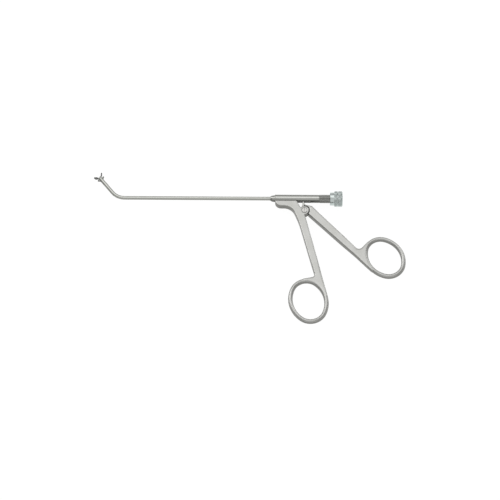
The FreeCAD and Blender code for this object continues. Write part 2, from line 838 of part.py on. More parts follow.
def tail_pin():
    """Pin in the end of the lower jaw's tail."""
    place = tail_pin_place(tail_open_angle)
    return disc(tail_pin_radius, 2.0 * layer_outer, place.x, place.y)


def link():
    """Link from the pusher to the lower jaw's tail."""
    low_z = pusher_tongue_thickness / 2.0 + layer_gap
    thickness = layer_outer - low_z
    middle_z = (layer_outer + low_z) / 2.0
    bar = block(
        0.0, link_length, -link_bar_width / 2.0, link_bar_width / 2.0,
        low_z, layer_outer,
    )
    bar = bar.fuse([
        disc(link_eye_radius, thickness, 0.0, 0.0, middle_z),
        disc(link_eye_radius, thickness, link_length, 0.0, middle_z),
    ])
    bar = bar.cut(disc(link_pin_radius + running_clearance, tip_cut_depth))
    bar = bar.cut(disc(tail_pin_radius + link_end_play, tip_cut_depth, link_length, 0.0))
    bar.rotate(Vector(0, 0, 0), Vector(0, 0, 1), -link_lean_rest)
    bar.translate(Vector(-link_pin_rest, 0, 0))
    return bar


def link_pin():
    """Pin that joins both links to the pusher."""
    return at_tip(disc(link_pin_radius, 2.0 * layer_outer, -link_pin_rest, 0.0))


def pusher_rear():
    """Rear end of the pusher rod, behind the jaw pivot."""
    return tip_reach - bend_tangent - wire_tip_length


def tip_pusher():
    """Rod in the fork whose tongue lies between the two links."""
    half_tongue = pusher_tongue_thickness / 2.0
    rod = rod_along_x(pusher_radius(), -pusher_rear(), -link_pin_rest - pusher_rod_setback)
    tongue = block(
        -link_pin_rest - pusher_rod_setback - pusher_tongue_root, -link_pin_rest,
        -tail_eye_radius, tail_eye_radius, -half_tongue, half_tongue,
    )
    eye = disc(tail_eye_radius, pusher_tongue_thickness, -link_pin_rest, 0.0)
    body = rod.fuse([tongue, eye])
    body = body.cut(disc(link_pin_radius + fixed_clearance, tip_cut_depth, -link_pin_rest, 0.0))
    socket = rod_along_x(
        wire_radius + fixed_clearance, -pusher_rear() - overcut, -pusher_rear() + wire_socket_depth,
    )
    return at_tip(body.cut(socket))


def wire_tip_end():
    """Straight front end of the drive wire, fixed in the pusher."""
    rear = -(tip_reach - bend_tangent) + wire_cut_gap
    return at_tip(rod_along_x(wire_radius, rear, -pusher_rear() + wire_socket_depth))


def tip_ferrule():
    """Sleeve crimped over the wire behind the pusher."""
    outer = rod_along_x(pusher_radius(), -pusher_rear() - ferrule_length, -pusher_rear())
    bore = rod_along_x(wire_radius + fixed_clearance, -pusher_rear() - ferrule_length - overcut, 0.0)
    return at_tip(outer.cut(bore))


def wire_bend():
    """Middle of the drive wire, which slides round the bend of the shaft."""
    gap_angle = math.degrees(wire_cut_gap / bend_radius) / 2.0
    return bend_piece(wire_radius, gap_angle, bend_angle - gap_angle)


# Drive in the straight shaft and the barrel


def rod_front():
    """Front end of the drive rod."""
    return bend_start_x + rod_front_setback


def wire_rear_end():
    """Straight rear end of the drive wire, fixed in the drive rod."""
    return rod_along_x(wire_radius, bend_start_x + wire_cut_gap, rod_front() + wire_socket_depth)


def rod_ferrule():
    """Sleeve crimped over the wire in front of the drive rod."""
    front = rod_front() - ferrule_length
    outer = rod_along_x(rod_radius, front, rod_front())
    bore = rod_along_x(wire_radius + fixed_clearance, front - overcut, rod_front() + overcut)
    return outer.cut(bore)


def drive_rod():
    """Long straight rod from the slide block to the wire."""
    rear = block_rest_x - block_front_length + rod_socket_depth
    rod = rod_along_x(rod_radius, rod_front(), rear)
    socket = rod_along_x(wire_radius + fixed_clearance, rod_front() - overcut, rod_front() + wire_socket_depth)
    return rod.cut(socket)


def seal_groove(middle_x):
    """Ring cut round the slide block for a seal."""
    half_width = seal_wire_radius + seal_side_gap
    outer = rod_along_x(barrel_bore_radius + overcut, middle_x - half_width, middle_x + half_width)
    return outer.cut(rod_along_x(seal_seat_radius(), middle_x - overcut, middle_x + overcut))


def seal_seat_radius():
    """Radius of the groove floor under a seal."""
    return barrel_bore_radius - seal_gap - 2.0 * seal_wire_radius - fixed_clearance


def slide_block():
    """Piston in the barrel that the drive tang pushes and pulls."""
    front = block_rest_x - block_front_length
    rear = block_rest_x + block_rear_length
    body = rod_along_x(barrel_bore_radius - running_clearance, front, rear)
    half_pocket = drive_nose_radius + running_clearance
    half_pocket_z = tongue_thickness / 2.0 + pocket_side_gap
    pocket = block(
        block_rest_x - half_pocket, block_rest_x + half_pocket, -barrel_radius, pocket_top,
        -half_pocket_z, half_pocket_z,
    )
    socket = rod_along_x(rod_radius + fixed_clearance, front - overcut, front + rod_socket_depth)
    rinse_hole = rod_along_x(rinse_hole_radius, front - overcut, rear + overcut, rinse_hole_rise)
    body = body.cut([pocket, socket, rinse_hole])
    return body.cut([
        seal_groove(block_rest_x - seal_front_setback),
        seal_groove(block_rest_x + seal_rear_setback),
    ])


def slide_seal(middle_x):
    """Moulded seal in a groove of the slide block, square with broken corners."""
    outer = barrel_bore_radius - seal_gap
    inner = outer - 2.0 * seal_wire_radius
    section = [
        (middle_x - seal_wire_radius, inner + seal_corner_size),
        (middle_x - seal_wire_radius, outer - seal_corner_size),
        (middle_x - seal_wire_radius + seal_corner_size, outer),
        (middle_x + seal_wire_radius - seal_corner_size, outer),
        (middle_x + seal_wire_radius, outer - seal_corner_size),
        (middle_x + seal_wire_radius, inner + seal_corner_size),
        (middle_x + seal_wire_radius - seal_corner_size, inner),
        (middle_x - seal_wire_radius + seal_corner_size, inner),
    ]
    return turned(section)


# Rinsing port and cap


def ridged_bar(radius, depth, count, land_share, start_x, end_x):
    """Bar along X with straight V grooves all round and flat lands between them."""
    step = 2.0 * math.pi / count
    points = []
    for index in range(count):
        for share, reach in ((0.0, radius), (land_share, radius), ((1.0 + land_share) / 2.0, radius - depth)):
            angle = step * (index + share)
            points.append(Vector(start_x, reach * math.cos(angle), reach * math.sin(angle)))
    face = Part.Face(Part.makePolygon(points + points[:1]))
    return face.extrude(Vector(end_x - start_x, 0, 0))


def port_sleeve():
    """Fluted sleeve screwed into the rear of the barrel."""
    collar_x = barrel_rear_x + sleeve_collar_length
    collar = rod_along_x(sleeve_radius - flute_depth, barrel_rear_x, collar_x)
    body = ridged_bar(sleeve_radius, flute_depth, flute_count, flute_land_share, collar_x, sleeve_rear_x)
    body = body.fuse(collar)
    spigot = rod_along_x(
        barrel_bore_radius - fixed_clearance, barrel_rear_x - sleeve_spigot_length, barrel_rear_x,
    )
    channel = rod_along_x(sleeve_channel_radius, barrel_rear_x - sleeve_spigot_length - overcut, sleeve_rear_x)
    seat = rod_along_x(
        port_spigot_radius + fixed_clearance, sleeve_rear_x - port_spigot_length, sleeve_rear_x + overcut,
    )
    return body.fuse(spigot).cut(channel).cut(seat)


def port_fitting():
    """Conical port behind the sleeve, with two locking lugs at its mouth."""
    outer = port_mouth_radius + port_wall
    body = rod_along_x(outer, sleeve_rear_x, port_rear_x)
    spigot = rod_along_x(port_spigot_radius, sleeve_rear_x - port_spigot_length, sleeve_rear_x)
    lugs = rod_along_x(port_lug_radius, port_rear_x - port_lug_length, port_rear_x)
    half_lug = port_lug_width / 2.0
    lugs = lugs.common(block(
        port_rear_x - 2.0 * port_lug_length, port_rear_x, -port_lug_radius, port_lug_radius,
        -half_lug, half_lug,
    ))
    deep_radius = port_mouth_radius - port_taper * port_depth
    taper = cone_along_x(deep_radius, port_mouth_radius, port_rear_x - port_depth, port_rear_x)
    channel = rod_along_x(
        sleeve_channel_radius, sleeve_rear_x - port_spigot_length - overcut, port_rear_x,
    )
    return body.fuse([spigot, lugs]).cut([taper, channel])


def cap_ring():
    """Cap that screws over the port: smooth collar and two knurled bands."""
    rim_front = sleeve_rear_x + cap_collar_length
    groove_x = rim_front + cap_groove_from_collar
    shell = turned([
        (sleeve_rear_x, 0.0),
        (sleeve_rear_x, cap_collar_radius - cap_edge_chamfer),
        (sleeve_rear_x + cap_edge_chamfer, cap_collar_radius),
        (rim_front, cap_collar_radius),
        (rim_front + cap_edge_chamfer, cap_rim_radius),
        (groove_x, cap_rim_radius),
        (groove_x, cap_rim_radius - cap_groove_depth),
        (groove_x + cap_groove_width, cap_rim_radius - cap_groove_depth),
        (groove_x + cap_groove_width, cap_rim_radius),
        (cap_rear_x - cap_rim_round, cap_rim_radius),
        (cap_rear_x - cap_rim_round_mid, cap_rim_radius - cap_rim_round_mid),
        (cap_rear_x, cap_rim_radius - cap_rim_round),
        (cap_rear_x, 0.0),
    ])
    limit = ridged_bar(cap_rim_radius, knurl_depth, knurl_count, knurl_land_share, rim_front, cap_rear_x)
    limit = limit.fuse(rod_along_x(cap_rim_radius, sleeve_rear_x, rim_front))
    shell = shell.common(limit)
    bore = rod_along_x(cap_bore_radius, sleeve_rear_x - overcut, cap_inner_x)
    stem_hole = rod_along_x(plug_stem_radius + running_clearance, cap_inner_x - overcut, cap_rear_x + overcut)
    head_seat = rod_along_x(
        plug_head_radius + running_clearance, cap_rear_x - plug_head_thickness - 2.0 * layer_gap,
        cap_rear_x + overcut,
    )
    return shell.cut([bore, stem_hole, head_seat])


def plug_disc_x():
    """Front face of the plug's disc."""
    return cap_inner_x - layer_gap - plug_disc_thickness


def cap_plug():
    """Tapered plug in the port, held in the cap by its stem and riveted head."""
    mouth = port_mouth_radius - seal_gap
    tip_radius = mouth - port_taper * plug_taper_length
    taper = cone_along_x(tip_radius, mouth, port_rear_x - plug_taper_length, port_rear_x)
    throat = rod_along_x(mouth, port_rear_x, plug_disc_x())
    flange = rod_along_x(plug_disc_radius, plug_disc_x(), plug_disc_x() + plug_disc_thickness)
    stem = rod_along_x(plug_stem_radius, plug_disc_x(), cap_rear_x - layer_gap)
    head = rod_along_x(
        plug_head_radius, cap_rear_x - layer_gap - plug_head_thickness, cap_rear_x - layer_gap,
    )
    return taper.fuse([throat, flange, stem, head]).removeSplitter()


def cap_seal():
    """Flat washer between the port's mouth and the plug's disc."""
    front = plug_disc_x() - cap_seal_thickness
    outer = rod_along_x(plug_disc_radius, front, plug_disc_x())
    return outer.cut(rod_along_x(port_mouth_radius, front - overcut, plug_disc_x() + overcut))


def build_pieces():
    """Every piece of the instrument at rest, jaws open, by the name of its file."""
    lower_jaw = jaw()
    lower_link = link()
    lower_pin = tail_pin()
    return {
        "finger_handle": finger_handle(),
        "thumb_handle": thumb_handle(),
        "handle_pivot_screw": handle_pivot_screw(),
        "barrel": barrel(),
        "nose_cone": nose_cone(),
        "shaft_tube": shaft_tube(),
        "tip_fork": tip_fork(),
        "jaw_pivot_pin": jaw_pivot_pin(),
        "lower_jaw": at_tip(lower_jaw),
        "upper_jaw": at_tip(flipped(lower_jaw)),
        "lower_tail_pin": at_tip(lower_pin),
        "upper_tail_pin": at_tip(flipped(lower_pin)),
        "lower_link": at_tip(lower_link),
        "upper_link": at_tip(flipped(lower_link)),
        "link_pin": link_pin(),
        "tip_pusher": tip_pusher(),
        "tip_ferrule": tip_ferrule(),
        "wire_tip_end": wire_tip_end(),
        "wire_bend": wire_bend(),
        "wire_rear_end": wire_rear_end(),
        "rod_ferrule": rod_ferrule(),
        "drive_rod": drive_rod(),
        "slide_block": slide_block(),
        "front_slide_seal": slide_seal(block_rest_x - seal_front_setback),
        "rear_slide_seal": slide_seal(block_rest_x + seal_rear_setback),
        "port_sleeve": port_sleeve(),
        "port_fitting": port_fitting(),
        "cap_ring": cap_ring(),
        "cap_plug": cap_plug(),
        "cap_seal": cap_seal(),
    }


def origin_shift(pieces):
    """Move that puts the middle of the outline at X = Y = 0 and the surface at Z = 0."""
    box = FreeCAD.BoundBox()
    for shape in pieces.values():
        box.add(shape.optimalBoundingBox(False, False))
    return Vector(-box.Center.x, -box.Center.y, -surface_z)


def main():
    """Build, check and write every piece."""
    os.makedirs("parts", exist_ok=True)
    pieces = build_pieces()
    shift = origin_shift(pieces)
    for name, shape in pieces.items():
        placed = shape.copy()
        placed.translate(shift)
        print(name, "solids", len(placed.Solids), "valid", placed.isValid(), "volume", round(placed.Volume, 4))
        placed.exportStep("parts/" + name + ".step")
    print("shift", shift)


if __name__ == "__main__":
    main()
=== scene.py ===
"""Looks of the curved sinus forceps: its finishes, softened edges, knurling and studio."""

import bmesh
import bpy
import json
import logging
import math
import numpy as np
from dataclasses import dataclass
from enum import Enum
from mathutils import Euler, Matrix, Vector
from typing import Any, Optional


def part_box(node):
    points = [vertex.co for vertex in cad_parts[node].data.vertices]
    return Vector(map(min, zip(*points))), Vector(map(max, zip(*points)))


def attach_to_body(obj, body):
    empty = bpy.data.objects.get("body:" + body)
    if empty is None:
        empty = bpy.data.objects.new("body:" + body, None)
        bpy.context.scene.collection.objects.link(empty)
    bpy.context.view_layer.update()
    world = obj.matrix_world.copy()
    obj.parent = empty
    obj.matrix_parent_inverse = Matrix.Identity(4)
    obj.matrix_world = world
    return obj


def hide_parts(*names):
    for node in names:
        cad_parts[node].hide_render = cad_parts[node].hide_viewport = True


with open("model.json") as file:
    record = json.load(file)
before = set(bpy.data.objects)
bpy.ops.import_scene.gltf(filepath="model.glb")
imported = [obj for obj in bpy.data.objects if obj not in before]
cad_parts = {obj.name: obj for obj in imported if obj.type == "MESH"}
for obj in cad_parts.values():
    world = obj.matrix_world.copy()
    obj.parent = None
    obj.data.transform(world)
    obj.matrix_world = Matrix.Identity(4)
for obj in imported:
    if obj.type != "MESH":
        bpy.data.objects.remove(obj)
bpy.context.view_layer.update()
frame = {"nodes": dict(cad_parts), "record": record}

log = logging.getLogger("sinus_forceps")
MM = 0.001

# Points of a CAD mesh that lie closer than this are one point, in millimetres.
WELD_MM = 0.0005
# Share of the way to its neighbours' middle that a point moves in one round of rounding.
RELAX_STEP = 0.5

# Range of the fine texture's value that the roughness spreads over, and its shape.
GRAIN_BAND = (0.3, 0.7)
GRAIN_DETAIL = 3.0
GRAIN_ROUGHNESS = 0.6
BUMP_STRENGTH = 0.6
# How much a drawn or turned texture is stretched along its lines.
STREAK = 0.04
# Range of the clouding's value that goes from one colour to the other, and its shape.
CLOUD_BAND = (0.35, 0.65)
CLOUD_DETAIL = 4.0
CLOUD_ROUGHNESS = 0.55
# Range of pointiness over which the edge colour comes in; a flat face has 0.5.
EDGE_BAND = (0.505, 0.55)
# Range of openness over which the painted shade in a recess fades out, the rays that openness is judged by,
# and the colour of that painted shade.
GAP_SHADE_BAND = (0.12, 0.6)
GAP_SAMPLES = 8
GAP_SHADE_COLOUR = (0.02, 0.02, 0.02, 1.0)


class Grain(Enum):
    """How a surface was made, which decides the direction of its texture."""

    BEADED = "beaded"
    DRAWN = "drawn"
    TURNED = "turned"
    MOULDED = "moulded"


def linear(hex_colour: str) -> tuple[float, float, float, float]:
    """Turn an sRGB hex colour into linear values.

    Args:
        hex_colour: six hex digits, such as "c3c0ba".

    Returns:
        Red, green, blue and an alpha of 1.
    """
    channels = [int(hex_colour[start:start + 2], 16) / 255.0 for start in (0, 2, 4)]
    return (*[c / 12.92 if c <= 0.04045 else ((c + 0.055) / 1.055) ** 2.4 for c in channels], 1.0)


def add_node(tree: Any, kind: str, inputs: Optional[dict] = None, **settings: Any) -> Any:
    """Add a node to a tree.

    Args:
        tree: the node tree of a material, a world or a geometry group.
        kind: the node's type name.
        inputs: values or output sockets, by the name or number of the input.
        settings: attributes of the node, set before its inputs.

    Returns:
        The new node.
    """
    node = tree.nodes.new(kind)
    for name, value in settings.items():
        setattr(node, name, value)
    for name, value in (inputs or {}).items():
        if isinstance(value, bpy.types.NodeSocket):
            tree.links.new(value, node.inputs[name])
        else:
            node.inputs[name].default_value = value
    return node


@dataclass(frozen=True)
class Finish:
    """A surface finish: its colours, its gloss and the texture that making it left.

    A painted side shade is a darker colour painted on the upright sides of a piece, standing in for
    the shade they fall in; the ground faces keep the lighter colours. It is full where the normal rises less
    than the first share, and none past the second.
    A painted recess shade says how much darker a deep gap or slot, or a place under or between parts,
    is painted, standing in for the shade that falls there; its reach says how wide such a gap may be.
    The edge colour lies along convex edges: dark as painted shade for the room that a rounded edge
    mirrors, bright where it is worn. The edge mirror is how much the metal reflects at a glancing
    angle; below 1 it darkens the metal towards its outline as painted shade. Sizes are in millimetres.
    """

    name: str
    face: str
    shade: str
    painted_side_shade: Optional[str] = None
    painted_side_shade_rise: tuple[float, float] = (0.2, 0.97)
    grain: Grain = Grain.BEADED
    grain_mm: float = 0.5
    grain_depth_mm: float = 0.01
    cloud_mm: float = 6.0
    roughness: tuple[float, float] = (0.3, 0.4)
    metallic: float = 1.0
    edge: Optional[str] = None
    edge_share: float = 0.3
    edge_mirror: float = 1.0
    painted_recess_shade: float = 0.0
    painted_recess_shade_reach_mm: float = 1.2

    def material(self) -> Any:
        """Make the material of this finish, or find it if it has been made."""
        made = bpy.data.materials.get(self.name)
        if made is not None:
            return made
        made = bpy.data.materials.new(self.name)
        made.use_nodes = True
        tree = made.node_tree
        tree.nodes.clear()
        place = add_node(tree, "ShaderNodeTexCoord").outputs["Object"]
        colour = self._colour(tree, place)
        grain = self._grain(tree, place)
        rough = add_node(tree, "ShaderNodeMapRange", {
            "Value": grain, "From Min": GRAIN_BAND[0], "From Max": GRAIN_BAND[1],
            "To Min": self.roughness[0], "To Max": self.roughness[1],
        })
        bump = add_node(tree, "ShaderNodeBump", {
            "Height": grain, "Strength": BUMP_STRENGTH, "Distance": self.grain_depth_mm * MM,
        })
        # Painted shade: a Specular Tint below white makes the metal reflect less at a glancing angle,
        # darkening its outline.
        shader = add_node(tree, "ShaderNodeBsdfPrincipled", {
            "Base Color": colour, "Roughness": rough.outputs["Result"], "Normal": bump.outputs["Normal"],
            "Metallic": self.metallic, "Specular Tint": (*[self.edge_mirror] * 3, 1.0),
        })
        add_node(tree, "ShaderNodeOutputMaterial", {"Surface": shader.outputs["BSDF"]})
        return made

    def _grain(self, tree: Any, place: Any) -> Any:
        """Add the fine texture.

        Args:
            tree: the material's node tree.
            place: object coordinates, as an output socket.

        Returns:
            The socket with the texture's height, from 0 to 1.
        """
        streaks = {Grain.DRAWN: (STREAK, 1.0, 1.0), Grain.TURNED: (1.0, STREAK, STREAK)}
        stretch = streaks.get(self.grain, (1.0, 1.0, 1.0))
        mapped = add_node(tree, "ShaderNodeMapping", {"Vector": place, "Scale": stretch})
        noise = add_node(tree, "ShaderNodeTexNoise", {
            "Vector": mapped.outputs["Vector"], "Scale": 1.0 / (self.grain_mm * MM),
            "Detail": GRAIN_DETAIL, "Roughness": GRAIN_ROUGHNESS,
        })
        return noise.outputs["Fac"]

    def _colour(self, tree: Any, place: Any) -> Any:
        """Add the colour: soft clouding, painted shade on upright sides and in recesses, and colour along
        edges.

        Args:
            tree: the material's node tree.
            place: object coordinates, as an output socket.

        Returns:
            The socket with the colour.
        """
        cloud = add_node(tree, "ShaderNodeTexNoise", {
            "Vector": place, "Scale": 1.0 / (self.cloud_mm * MM),
            "Detail": CLOUD_DETAIL, "Roughness": CLOUD_ROUGHNESS,
        })
        amount = add_node(tree, "ShaderNodeMapRange", {
            "Value": cloud.outputs["Fac"], "From Min": CLOUD_BAND[0], "From Max": CLOUD_BAND[1],
        })
        colour = add_node(tree, "ShaderNodeMix", {
            0: amount.outputs["Result"], 6: linear(self.face), 7: linear(self.shade),
        }, data_type="RGBA").outputs[2]
        geometry = add_node(tree, "ShaderNodeNewGeometry")
        # Painted shade: upright sides, where the normal rises little, get the darker side colour.
        if self.painted_side_shade:
            split = add_node(tree, "ShaderNodeSeparateXYZ", {"Vector": geometry.outputs["Normal"]})
            upright = add_node(tree, "ShaderNodeMath", {0: split.outputs["Z"]}, operation="ABSOLUTE")
            share = add_node(tree, "ShaderNodeMapRange", {
                "Value": upright.outputs["Value"],
                "From Min": self.painted_side_shade_rise[0], "From Max": self.painted_side_shade_rise[1],
            }, interpolation_type="SMOOTHSTEP")
            colour = add_node(tree, "ShaderNodeMix", {
                0: share.outputs["Result"], 6: linear(self.painted_side_shade), 7: colour,
            }, data_type="RGBA").outputs[2]
        # Colour along convex edges: a bright edge colour is wear, and a dark one is painted shade.
        if self.edge:
            ridge = add_node(tree, "ShaderNodeMapRange", {
                "Value": geometry.outputs["Pointiness"],
                "From Min": EDGE_BAND[0], "From Max": EDGE_BAND[1], "To Max": self.edge_share,
            })
            colour = add_node(tree, "ShaderNodeMix", {
                0: ridge.outputs["Result"], 6: colour, 7: linear(self.edge),
            }, data_type="RGBA").outputs[2]
        # Painted shade: ambient occlusion darkens gaps, slots and places under and between parts towards near
        # black.
        if self.painted_recess_shade:
            open_share = add_node(tree, "ShaderNodeAmbientOcclusion", {
                "Distance": self.painted_recess_shade_reach_mm * MM,
            }, samples=GAP_SAMPLES)
            gap_shade = add_node(tree, "ShaderNodeMapRange", {
                "Value": open_share.outputs["AO"], "From Min": GAP_SHADE_BAND[0], "From Max": GAP_SHADE_BAND[1],
                "To Min": self.painted_recess_shade, "To Max": 0.0,
            })
            colour = add_node(tree, "ShaderNodeMix", {
                0: gap_shade.outputs["Result"], 6: colour, 7: GAP_SHADE_COLOUR,
            }, data_type="RGBA").outputs[2]
        return colour


# Stainless steel of the handles, ground and then glass-bead blasted: an even satin grey, a little
# warm. Its upright sides are coloured darker as painted shade, and its gaps and the places under and
# between parts are darkened over a wide reach as painted shade. The real bead marks are about
# 0.05 mm; they are drawn 0.35 mm wide so that they show.
HANDLE_STEEL = Finish(
    "satin_stainless_steel", "d0d0cd", "c9c9c5", painted_side_shade="7c7c78", grain_mm=0.35, grain_depth_mm=0.005,
    cloud_mm=9.0, roughness=(0.32, 0.38), painted_recess_shade=0.9, painted_recess_shade_reach_mm=5.0,
)
# Bright turned screw. Its slot and the gap round it get painted shade.
SCREW_STEEL = Finish(
    "polished_stainless_steel", "cfcecb", "c4c3c0", grain_mm=0.3, grain_depth_mm=0.003, cloud_mm=1.5,
    roughness=(0.18, 0.28), painted_recess_shade=0.85, painted_recess_shade_reach_mm=0.8,
)
# Barrel and its nose, turned and polished until they mirror the room: a bright line between dark
# bands. The dark bands come partly from the room's reflection and partly from painted shade on their
# upright sides, and weaker reflection at a glancing angle darkens their outline as painted shade.
# Their slot and gaps get painted shade too. The fine lines along them are drawn 0.25 mm apart so
# that they show.
TUBE_STEEL = Finish(
    "polished_barrel_tube", "d0d1cc", "cccdc8", painted_side_shade="787975", painted_side_shade_rise=(0.5, 0.99),
    grain=Grain.DRAWN, grain_mm=0.25, grain_depth_mm=0.0002, cloud_mm=12.0, roughness=(0.18, 0.2),
    edge_mirror=0.3, painted_recess_shade=0.9, painted_recess_shade_reach_mm=2.5,
)
# Seamless drawn shaft tube, left a little duller and more even than the barrel. Its upright sides
# and gaps get painted shade, and weaker reflection at a glancing angle darkens its outline as
# painted shade.
SHAFT_STEEL = Finish(
    "drawn_stainless_tube", "d9dad4", "d5d6d0", painted_side_shade="9c9d97", painted_side_shade_rise=(0.45, 0.99),
    grain=Grain.DRAWN, grain_mm=0.25, grain_depth_mm=0.0003, cloud_mm=12.0, roughness=(0.23, 0.26),
    edge_mirror=0.5, painted_recess_shade=0.6,
)
# Small forged and tumbled pieces at the tip, coloured darker than the handles as painted shade, with
# upright sides and gaps painted darker still, and bright worn edges.
TIP_STEEL = Finish(
    "tumbled_stainless_steel", "8f908c", "80817d", painted_side_shade="6c6d6a", grain_mm=0.2, grain_depth_mm=0.003,
    cloud_mm=1.2, roughness=(0.3, 0.4), edge="b4b5b1", painted_recess_shade=0.8, painted_recess_shade_reach_mm=0.6,
)
# Jaw cups, coloured dark grey as painted shade, with upright sides and gaps painted darker still.
JAW_STEEL = Finish(
    "jaw_steel_painted_dark", "7b7c79", "6e6f6c", painted_side_shade="5c5d5a", grain_mm=0.2, grain_depth_mm=0.003,
    cloud_mm=1.2, roughness=(0.32, 0.42), painted_recess_shade=0.8, painted_recess_shade_reach_mm=0.8,
)
# Cold drawn bar inside the tube.
ROD_STEEL = Finish(
    "cold_drawn_steel_bar", "b5b4b2", "a9a8a6", grain=Grain.DRAWN, grain_mm=0.2, grain_depth_mm=0.004,
    cloud_mm=3.0, roughness=(0.3, 0.42),
)
# Hard drawn spring wire.
WIRE_STEEL = Finish(
    "spring_steel_wire", "acabaa", "9f9e9d", grain=Grain.DRAWN, grain_mm=0.15, grain_depth_mm=0.003,
    cloud_mm=2.0, roughness=(0.28, 0.38),
)
# Fluted sleeve, dark from its blackened oxide skin. Its upright sides and the gaps between its
# flutes get further painted shade.
SLEEVE_STEEL = Finish(
    "blackened_fluted_steel", "a5a6a2", "989995", painted_side_shade="70716d", grain=Grain.TURNED, grain_mm=0.3,
    grain_depth_mm=0.003, cloud_mm=2.0, roughness=(0.26, 0.34), painted_recess_shade=0.5, painted_recess_shade_reach_mm=0.4,
)
# Nickel plated brass cap: bright and a little blue. Its upright sides, its convex edges and its gaps
# get painted shade.
CAP_NICKEL = Finish(
    "bright_nickel_plate", "dfe6e4", "d8e0dd", painted_side_shade="c6d0cd", grain=Grain.TURNED, grain_mm=0.4,
    grain_depth_mm=0.001, cloud_mm=6.0, roughness=(0.24, 0.3), edge="8d9694", edge_share=0.35,
    painted_recess_shade=0.3, painted_recess_shade_reach_mm=0.4,
)
# Moulded black nitrile seals.
SEAL_RUBBER = Finish(
    "moulded_nitrile_rubber", "1c1c1d", "242425", grain=Grain.MOULDED, grain_mm=0.3, grain_depth_mm=0.01,
    cloud_mm=2.0, roughness=(0.55, 0.7), metallic=0.0,
)
FINISHES = {
    "handle_steel": HANDLE_STEEL,
    "screw_steel": SCREW_STEEL,
    "tube_steel": TUBE_STEEL,
    "tip_steel": TIP_STEEL,
    "rod_steel": ROD_STEEL,
    "wire_steel": WIRE_STEEL,
    "sleeve_steel": SLEEVE_STEEL,
    "cap_nickel": CAP_NICKEL,
    "seal_rubber": SEAL_RUBBER,
}


def slot_of(node: str) -> str:
    """Name of the record's material slot of a CAD node."""
    return next(part["material_slot"] for part in frame["record"]["subparts"] if part["node"] == node)


def body_of(node: str) -> str:
    """Name of the body that a CAD node rides on."""
    bodies = frame["record"]["behaviour"]["bodies"]
    return next(body for body, members in bodies.items() if node in members)


def attach(piece: Any, node: str, replace: bool = True, finish: Optional[Finish] = None) -> Any:
    """Give a finished piece the material of a CAD node's slot, and the node's body.

    Args:
        piece: the mesh object, in its place.
        node: the CAD node whose place it takes or which it sits on.
        replace: True if the piece stands for the node.
        finish: a finish in place of the one that its slot has.

    Returns:
        The piece.
    """
    piece.data.materials.clear()
    piece.data.materials.append((finish or FINISHES[slot_of(node)]).material())
    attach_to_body(piece, body_of(node))
    if replace:
        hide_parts(node)
    log.info("%s rides on %s, %d faces", piece.name, body_of(node), len(piece.data.polygons))
    return piece


def link_object(name: str, mesh: Any) -> Any:
    """Put a mesh into the scene as an object at the origin."""
    piece = bpy.data.objects.new(name, mesh)
    bpy.context.scene.collection.objects.link(piece)
    return piece


def shade_by_angle(mesh: Any, degrees: float) -> None:
    """Shade a mesh smooth, with sharp edges where faces meet at more than an angle.

    Args:
        mesh: the mesh to shade.
        degrees: the largest angle that stays smooth.
    """
    work = bmesh.new()
    work.from_mesh(mesh)
    for face in work.faces:
        face.smooth = True
    for edge in work.edges:
        edge.smooth = edge.calc_face_angle(0.0) < math.radians(degrees)
    work.to_mesh(mesh)
    work.free()


def merged_copy(node: str) -> Any:
    """Copy the mesh of a CAD node with its loose triangles joined.

    Args:
        node: name of the CAD node.

    Returns:
        The new mesh, in metres.
    """
    work = bmesh.new()
    work.from_mesh(frame["nodes"][node].data)
    bmesh.ops.remove_doubles(work, verts=work.verts, dist=WELD_MM * MM)
    mesh = bpy.data.meshes.new(node)
    work.to_mesh(mesh)
    work.free()
    return mesh


@dataclass
class PolishedPieces:
    """Small rigid pieces that keep the exact shape of their CAD nodes, with smooth round faces."""

    nodes: tuple[str, ...]
    finish: Optional[Finish] = None
    smooth_degrees: float = 28.0

    def build(self) -> list[Any]:
        """Make a smooth copy of every node.

        Returns:
            The pieces, in the order of the nodes.
        """
        made = []
        for node in self.nodes:
            mesh = merged_copy(node)
            shade_by_angle(mesh, self.smooth_degrees)
            made.append(attach(link_object(node + "_polished", mesh), node, finish=self.finish))
        return made


